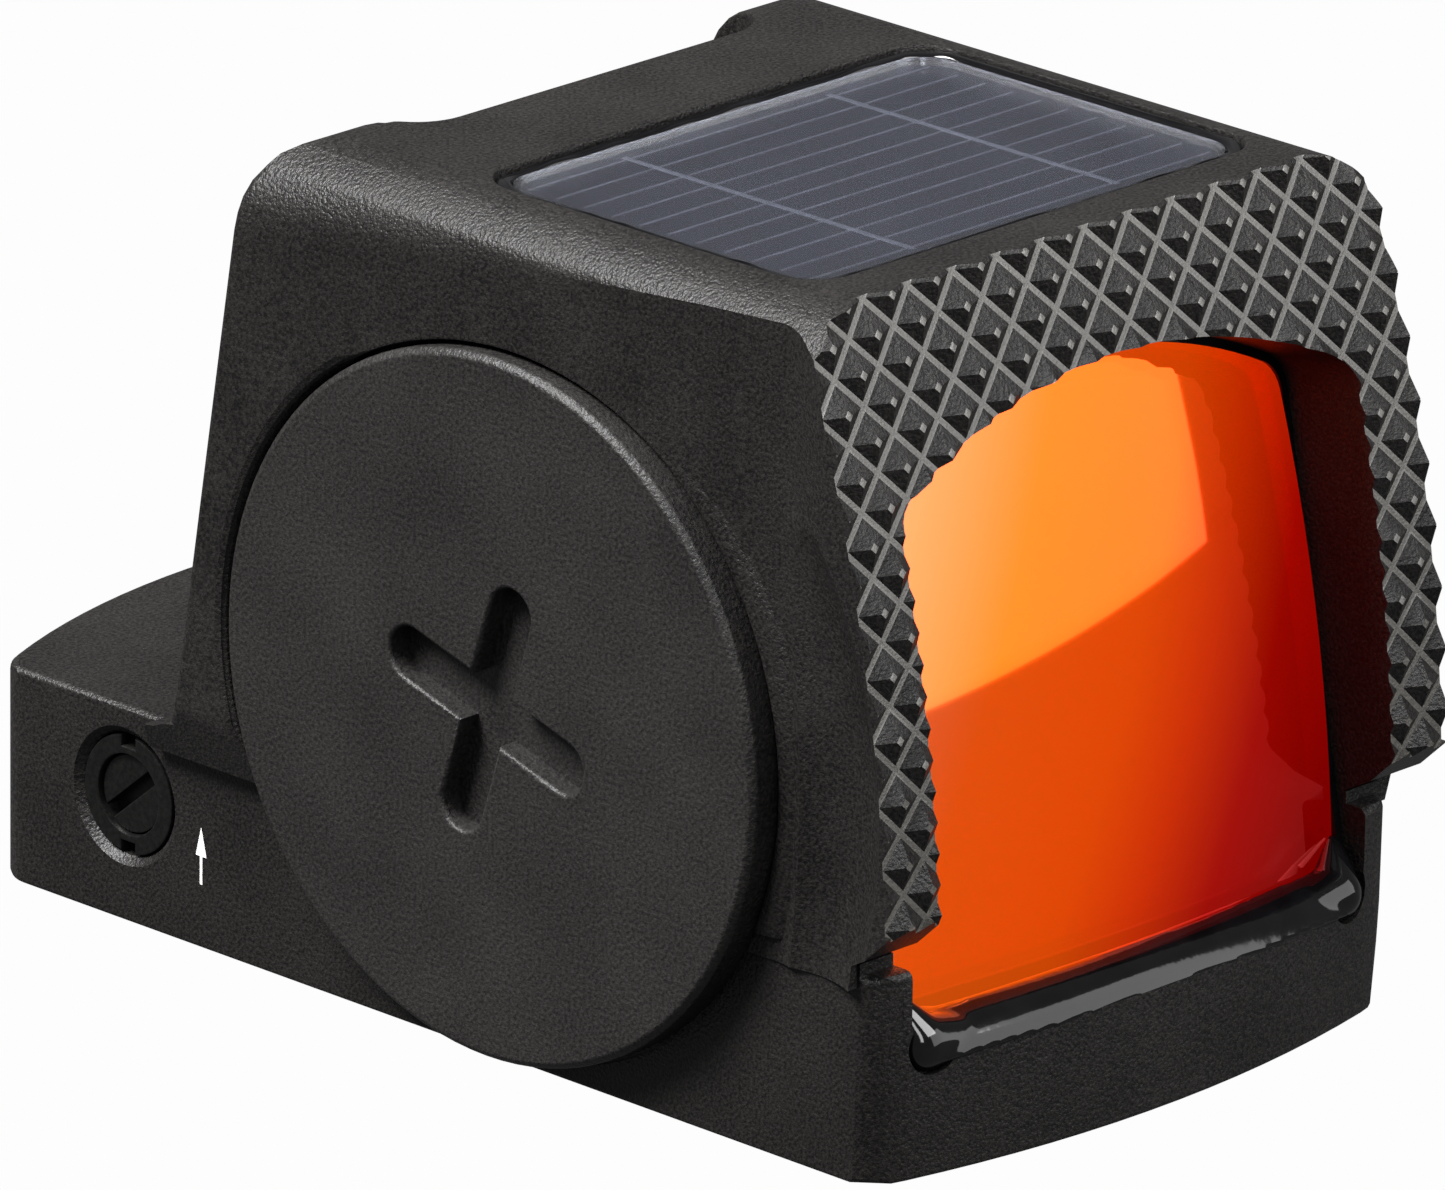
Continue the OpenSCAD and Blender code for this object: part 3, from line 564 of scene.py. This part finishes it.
# floors and tops take the smoother finish, with a painted highlight in its lighter colour
for face in cutter_mesh.faces:
    face.material_index = MILLED_PAINTED_HIGHLIGHT
for face in slopes:
    face.material_index = BLASTED
raised = bmesh.ops.extrude_face_region(cutter_mesh, geom=list(cutter_mesh.faces))["geom"]
for point in raised:
    if isinstance(point, bmesh.types.BMVert):
        point.co.z = GROOVE_DEPTH + 1
for point in cutter_mesh.verts:
    x, z, rise = point.co.x, point.co.y + middle_height, point.co.z
    point.co = Vector((x, hood_face(z) + rise - GROOVE_DEPTH - SKIM, z)) * MM
bmesh.ops.recalc_face_normals(cutter_mesh, faces=cutter_mesh.faces)
print(len(cells), "diamonds in the cutter")
carve(housing, cutter_mesh, "milled_painted_highlight_aluminium")

# %% [markdown]
# With the pattern cut, the groups of edges are rolled one after the other. The rim of the hood stays as it was
# milled, since the pattern ends there.

# %% Rolled edges of the housing
housing_mesh = bmesh.new()
housing_mesh.from_mesh(housing.data)
for group, (width, segments, wanted) in ROLLS.items():
    print("rolled", roll_edges(housing_mesh, width, segments, wanted), "edges of the", group)
housing_mesh.to_mesh(housing.data)
housing_mesh.free()
housing.data.polygons.foreach_set("use_smooth", [True] * len(housing.data.polygons))
housing.data.set_sharp_from_angle(angle=SHARP)
flat_shaded(housing)
print("housing has", len(housing.data.polygons), "faces")

# %% [markdown]
# ## The battery cap
#
# The cap is turned from bar, its cross slot is milled with a round cutter, and both are broken at the edge before
# blasting. The copy of the CAD cap has narrow rolls on its rim and wider ones on the slot, which a coin wears.

# %% Battery cap
SLOT_REACH = 5.2               # the cross slot lies inside this radius, in mm
SLOT_ROLL, RIM_ROLL = 0.16, 0.07


def at_slot(p, d):
    """On the edge of the slot, in the cap's face."""
    return math.hypot(p.y - CAP_Y, p.z - CAP_Z) < SLOT_REACH and p.x > 12.9


def at_rim(p, d):
    """On the rim round the cap's face."""
    return math.hypot(p.y - CAP_Y, p.z - CAP_Z) > SLOT_REACH and p.x > 12.5


cap_mesh = copied("battery_cap")
print("rolled", roll_edges(cap_mesh, SLOT_ROLL, 3, at_slot), "edges of the slot and",
      roll_edges(cap_mesh, RIM_ROLL, 2, at_rim), "of the rim")
flat_shaded(new_piece("battery_cap_turned", cap_mesh, "cap_aluminium", "cap", ["battery_cap"]))

# %% [markdown]
# ## Sealant round the lens
#
# The lens is set in a black sealant. Round its edge that is a thin line, but along its foot the fillet stands
# proud as a wet bead, with a round drop at each end where the milled pocket has its corner reliefs. The line is the
# CAD piece cut off in front, and the bead is a section spun about the lens's own centre, so that it follows the
# curve of the glass.

# %% Thin line of sealant
LENS_TILT, LENS_Y, LENS_Z, LENS_R = 11, 16.3, 13.6, 58
POCKET_FLOOR = -9.8
LINE_FRONT = 1.2               # front of the thin line, in the lens's frame, in mm
lens_place = (Matrix.Translation(Vector((0, LENS_Y, LENS_Z)) * MM)
              @ Matrix.Rotation(math.radians(90 + LENS_TILT), 4, "X"))

line_mesh = copied("lens_sealant")
cut_at = lens_place @ Vector((0, 0, LINE_FRONT * MM))
cut_along = lens_place.to_3x3() @ Vector((0, 0, 1))
bmesh.ops.bisect_plane(line_mesh, geom=line_mesh.verts[:] + line_mesh.edges[:] + line_mesh.faces[:],
                       plane_co=cut_at, plane_no=cut_along, clear_inner=True)
bmesh.ops.holes_fill(line_mesh, edges=[e for e in line_mesh.edges if e.is_boundary], sides=0)
new_piece("lens_sealant_line", line_mesh, "black_sealant", "body", ["lens_sealant"])
print("thin line from", LINE_FRONT, "mm behind the lens's front")

# %% [markdown]
# The bead's section is a wide circle, cut off at the glass and at the floor of the pocket, so that a flat fillet
# is left between them. The drops at its ends are rows of spheres that shrink toward the bead and up the edge of
# the lens. One skin is then drawn round all of it, and smoothing lets it flow together as wet sealant does.

# %% Bead along the lens's foot
BEAD_HALF_SPAN = 9.3
BEAD_R = 1.60
BEAD_DROP = 0.28               # its centre is under the pocket's floor and behind the glass
BEAD_BACK = 0.30
# a drop: how far from the middle, height over the pocket's floor, distance before the glass, radius, in mm
LOBE = (9.40, 0.45, 0.50, 0.92)
LOBE_ENDS = (
    (7.60, 0.25, 0.35, 0.74),
    (9.95, 1.90, 0.05, 0.30),
)
LOBE_STEPS = 14
BEHIND_GLASS, UNDER_FLOOR = 0.02, 0.15     # how far the bead goes into the glass and the floor, in mm
SPIN_STEPS = 36
SKIN_CELL = 0.085              # size of the skin's cells, in mm
SLUMP_ROUNDS = 22


def glass_front(x, y):
    """Depth of the lens's front surface, in its own frame, in mm."""
    return LENS_R - math.sqrt(LENS_R ** 2 - x ** 2 - y ** 2)


bead_mesh = bmesh.new()
bead_low = POCKET_FLOOR - BEAD_DROP
bead_glass = glass_front(0, POCKET_FLOOR + 0.5)
bmesh.ops.create_circle(bead_mesh, cap_ends=True, segments=72, radius=BEAD_R * MM,
                        matrix=Matrix.Translation(Vector((0, bead_low, bead_glass + BEAD_BACK)) * MM)
                        @ Matrix.Rotation(math.radians(90), 4, "Y"))
at_glass = ((0, 0, bead_glass + BEHIND_GLASS), (0, 0, 1))
at_floor = ((0, POCKET_FLOOR - UNDER_FLOOR, 0), (0, -1, 0))
for place, away in (at_glass, at_floor):
    bmesh.ops.bisect_plane(bead_mesh, geom=bead_mesh.verts[:] + bead_mesh.edges[:] + bead_mesh.faces[:],
                           plane_co=Vector(place) * MM, plane_no=away, clear_outer=True)
bmesh.ops.delete(bead_mesh, geom=bead_mesh.faces[:], context="FACES_ONLY")
ring = bead_mesh.verts[:]
sweep = 2 * math.asin(BEAD_HALF_SPAN / LENS_R)
spin_centre = Vector((0, bead_low, LENS_R)) * MM
bmesh.ops.rotate(bead_mesh, verts=ring, cent=spin_centre, matrix=Matrix.Rotation(-sweep / 2, 3, "Y"))
bmesh.ops.spin(bead_mesh, geom=bead_mesh.verts[:] + bead_mesh.edges[:], cent=spin_centre, axis=(0, 1, 0),
               angle=sweep, steps=SPIN_STEPS, use_merge=False)
bmesh.ops.holes_fill(bead_mesh, edges=[e for e in bead_mesh.edges if e.is_boundary], sides=0)
for side, end, step in itertools.product((-1, 1), LOBE_ENDS, range(LOBE_STEPS)):
    part = step / (LOBE_STEPS - 1)
    out, rise, before, radius = (a + (b - a) * part for a, b in zip(LOBE, end))
    drop = Vector((side * out, POCKET_FLOOR + rise, glass_front(out, POCKET_FLOOR + rise) - before)) * MM
    bmesh.ops.create_uvsphere(bead_mesh, u_segments=28, v_segments=18, radius=radius * MM,
                              matrix=Matrix.Translation(drop))
bmesh.ops.transform(bead_mesh, matrix=lens_place, verts=bead_mesh.verts)
bmesh.ops.recalc_face_normals(bead_mesh, faces=bead_mesh.faces)
bead = new_piece("lens_bead", bead_mesh, "black_sealant", "body")
flowed = bead.modifiers.new("one_skin", "REMESH")
flowed.mode, flowed.voxel_size, flowed.use_smooth_shade = "VOXEL", SKIN_CELL * MM, True
slump = bead.modifiers.new("slump", "SMOOTH")
slump.factor, slump.iterations = 0.5, SLUMP_ROUNDS
print("bead of", round(2 * BEAD_HALF_SPAN, 1), "mm")

# %% [markdown]
# ## The solar panel
#
# The panel is a dark cell under a cover glass, potted in the same black sealant. Its silver fingers are printed
# lines, which gather the current into two wider bars. They lie between the cell and the glass, so they are thin
# strips here. The sealant is squeezed out a little unevenly, so the ring's top is rolled over and then moved up
# and down by a few hundredths of a millimetre with two slow waves.

# %% Printed grid and sealant of the panel
CELL_TOP = 27.05
PANEL_Y = 5.5
FINGER_PITCH, FINGER_HALF, FINGER_REACH = 1.2, 0.035, 9.0
FINGERS_EACH_SIDE = 5
FINGER_LOW, FINGER_HIGH = CELL_TOP + 0.005, CELL_TOP + 0.02
BAR_X, BAR_HALF, BAR_REACH = 4.6, 0.11, 6.2
BAR_LOW, BAR_HIGH = CELL_TOP + 0.021, CELL_TOP + 0.04
grid_mesh = bmesh.new()
for i in range(-FINGERS_EACH_SIDE, FINGERS_EACH_SIDE + 1):
    y = PANEL_Y + i * FINGER_PITCH
    box(grid_mesh, (-FINGER_REACH, y - FINGER_HALF, FINGER_LOW), (FINGER_REACH, y + FINGER_HALF, FINGER_HIGH))
for x in (-BAR_X, BAR_X):
    box(grid_mesh, (x - BAR_HALF, PANEL_Y - BAR_REACH, BAR_LOW), (x + BAR_HALF, PANEL_Y + BAR_REACH, BAR_HIGH))
new_piece("cell_grid", grid_mesh, "grid_silver", "body")

gasket_mesh = copied("solar_gasket")
GASKET_TOP, GASKET_ROLL, GASKET_CUTS = 27.65, 0.17, 24
WAVED = 0.4                    # the waves move what is less than this under the top, in mm
WAVE = 0.06                    # height of the unevenness, in mm
WAVES = ((0.6, 2.3, 1.1), (0.4, -0.9, 3.7))    # share, and radians for each mm along X and along Y
long_edges = [e for e in gasket_mesh.edges
              if e.calc_length() > 1.0 * MM and abs((e.verts[1].co - e.verts[0].co).z) < 1e-6]
bmesh.ops.subdivide_edges(gasket_mesh, edges=long_edges, cuts=GASKET_CUTS, use_grid_fill=True)
roll_edges(gasket_mesh, GASKET_ROLL, 4, lambda p, d: near(p.z, GASKET_TOP, 0.01) and abs(d.z) < 0.1)
for point in gasket_mesh.verts:
    p = point.co / MM
    if p.z > GASKET_TOP - WAVED:
        wave = sum(share * math.sin(p.x * in_x + p.y * in_y) for share, in_x, in_y in WAVES)
        point.co.z += WAVE * wave * MM
new_piece("panel_sealant", gasket_mesh, "black_sealant", "body", ["solar_gasket"])
print("grid of", 2 * FINGERS_EACH_SIDE + 1, "fingers and 2 bars")

# %% [markdown]
# ## Adjusters
#
# The windage screw sits in a blackened ring with two notches for its spanner, and the elevation screw in the
# deck. Both are turned and then blackened, and their edges are broken by a few hundredths of a millimetre.

# %% Windage ring and screws
detailed("windage_ring_turned", "windage_ring", 0.08, 2, lambda p, d: p.x > 11.5)
detailed("windage_screw_turned", "windage_screw", 0.06, 2, lambda p, d: p.x > 11.4)
detailed("elevation_screw_turned", "elevation_screw", 0.06, 2, lambda p, d: p.z > 6.95)

# %% [markdown]
# An arrow printed in white beside the windage screw shows which way to turn it. It is a thin layer of ink: a
# narrow triangle on a stem, a hundredth of a millimetre proud of the base's side.

# %% Direction arrow
ARROW_Y, ARROW_LOW, ARROW_NECK, ARROW_TIP = -12.0, 2.2, 3.15, 4.1
STEM_HALF, HEAD_HALF, TIP_SHARE = 0.055, 0.24, 0.04
INK = 0.012
arrow_mesh = bmesh.new()
box(arrow_mesh, (BASE_HALF, ARROW_Y - STEM_HALF, ARROW_LOW), (BASE_HALF + INK, ARROW_Y + STEM_HALF, ARROW_NECK))
head = box(arrow_mesh, (BASE_HALF, ARROW_Y - HEAD_HALF, ARROW_NECK),
           (BASE_HALF + INK, ARROW_Y + HEAD_HALF, ARROW_TIP))
tip = [v for v in head if v.co.z > (ARROW_TIP - 0.01) * MM]
bmesh.ops.scale(arrow_mesh, vec=(1, TIP_SHARE, 1), verts=tip, space=Matrix.Translation((0, -ARROW_Y * MM, 0)))
new_piece("direction_arrow", arrow_mesh, "marking_ink", "body")
print("arrow", round(ARROW_TIP - ARROW_LOW, 2), "mm long")

# %% [markdown]
# ## Buttons
#
# The two brightness buttons are moulded in silicone rubber, with a plus and a minus sunk in their faces, and sit
# in a metal bezel. Each button is a copy of its CAD piece with a soft edge, and the sign is cut with small blocks.

# %% Buttons and their bezel
BUTTON_MIDDLE, BUTTON_HALF_PITCH, BUTTON_Z, BUTTON_FACE = 2.5, 3.3, 13.0, -13.3
SIGN_HALF, SIGN_STROKE, SIGN_DEPTH = 1.05, 0.17, 0.16
LEVEL, UPRIGHT = (SIGN_HALF, SIGN_STROKE), (SIGN_STROKE, SIGN_HALF)    # half a stroke's width and height
BUTTONS = (
    # piece, CAD node, side of the middle, strokes of its sign
    ("plus_button", "up_button", 1, (UPRIGHT, LEVEL)),
    ("minus_button", "down_button", -1, (LEVEL,)),
)
for name, node, side, strokes in BUTTONS:
    button = detailed(name, node, 0.12, 3, lambda p, d: p.x < -13.0)
    middle = BUTTON_MIDDLE + side * BUTTON_HALF_PITCH
    for half_y, half_z in strokes:
        sign = bmesh.new()
        box(sign, (BUTTON_FACE - 1, middle - half_y, BUTTON_Z - half_z),
            (BUTTON_FACE + SIGN_DEPTH, middle + half_y, BUTTON_Z + half_z))
        carve(button, sign)
detailed("button_bezel_rolled", "button_bezel", 0.12, 3, lambda p, d: p.x < -12.85)

# %% [markdown]
# ## Underside
#
# A black steel cover closes the board bay and the emitter's cavity from below. Its edges are tumbled, and each of
# its six screws has a cross recess.

# %% Bottom cover and its screws
detailed("bottom_cover_tumbled", "bottom_cover", 0.08, 2, lambda p, d: p.z < 0.02)
cover_screws = detailed("cover_screws_recessed", "cover_screws", 0.05, 2, lambda p, d: p.z < 0.12)
CROSS_HALF, CROSS_STROKE, CROSS_DEPTH = 0.48, 0.10, 0.32
SCREW_PLACES = ((-9, -6.8), (-9, 11.8), (6.2, -6.8), (6.2, 11.8), (-5.6, -20.6), (5.6, -20.6))
for x, y in SCREW_PLACES:
    for half_x, half_y in ((CROSS_HALF, CROSS_STROKE), (CROSS_STROKE, CROSS_HALF)):
        recess = bmesh.new()
        box(recess, (x - half_x, y - half_y, -0.5), (x + half_x, y + half_y, CROSS_DEPTH))
        carve(cover_screws, recess)

# %% [markdown]
# ## The CAD pieces and the end
#
# The pieces that are not copied show as they are, so each CAD piece gets the finish that the record names for it.

# %% Finishes of the CAD pieces
for name, node in nodes.items():
    for held in node.material_slots:
        held.material = finishes[slot_of_node[name]]
print("finished", len(nodes), "CAD pieces")
